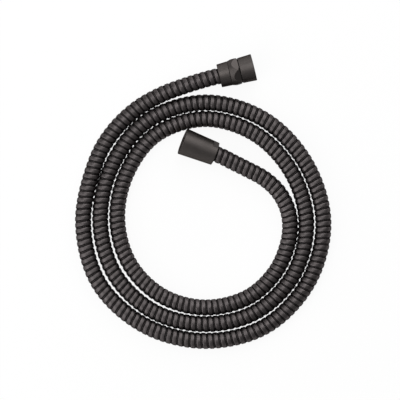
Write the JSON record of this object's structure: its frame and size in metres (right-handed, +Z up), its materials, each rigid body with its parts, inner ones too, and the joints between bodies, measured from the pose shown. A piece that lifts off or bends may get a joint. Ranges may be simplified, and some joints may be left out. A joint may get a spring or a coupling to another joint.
{
  "type": "shower hose",
  "caption": "Flexible spiral-wound metal shower hose lying in a loose flat coil, with a swivelling hexagon union nut on one end and a conical nut on the other.",
  "frame": {"origin": "on the surface that the hose lies on, under the middle of its whole box", "axes": "+Z up from the surface, +Y the long way of the coil towards the hexagon nut's side, +X to the right as the picture shows it"},
  "size_m": [0.2251, 0.2602, 0.0252],
  "materials": {
    "casing": "satin gunmetal coating on wound steel strip",
    "nut": "satin gunmetal coating on turned brass",
    "inner_tube": "smooth extruded",
    "insert": "turned, plain",
    "ferrule": "drawn and crimped",
    "washer": "matt moulded"
  },
  "bodies": {
    "hose": {"outer_hose": "casing", "inner_tube": "inner_tube", "hex_end_insert": "insert", "hex_end_ferrule": "ferrule", "cone_end_insert": "insert", "cone_end_ferrule": "ferrule"},
    "hex_nut": {"hex_nut": "nut", "hex_end_washer": "washer"},
    "cone_nut": {"cone_nut": "nut", "cone_end_washer": "washer"}
  },
  "joints": [
    {"name": "hex_nut_turn", "type": "hinge", "parent": "hose", "child": "hex_nut", "pos_m": [0.01405, 0.1109, 0.0126], "axis": [0.9694, 0.2453, 0], "continuous": true},
    {"name": "cone_nut_turn", "type": "hinge", "parent": "hose", "child": "cone_nut", "pos_m": [0.01066, 0.04204, 0.01035], "axis": [-0.928, 0.36, 0.0958], "continuous": true}
  ]
}
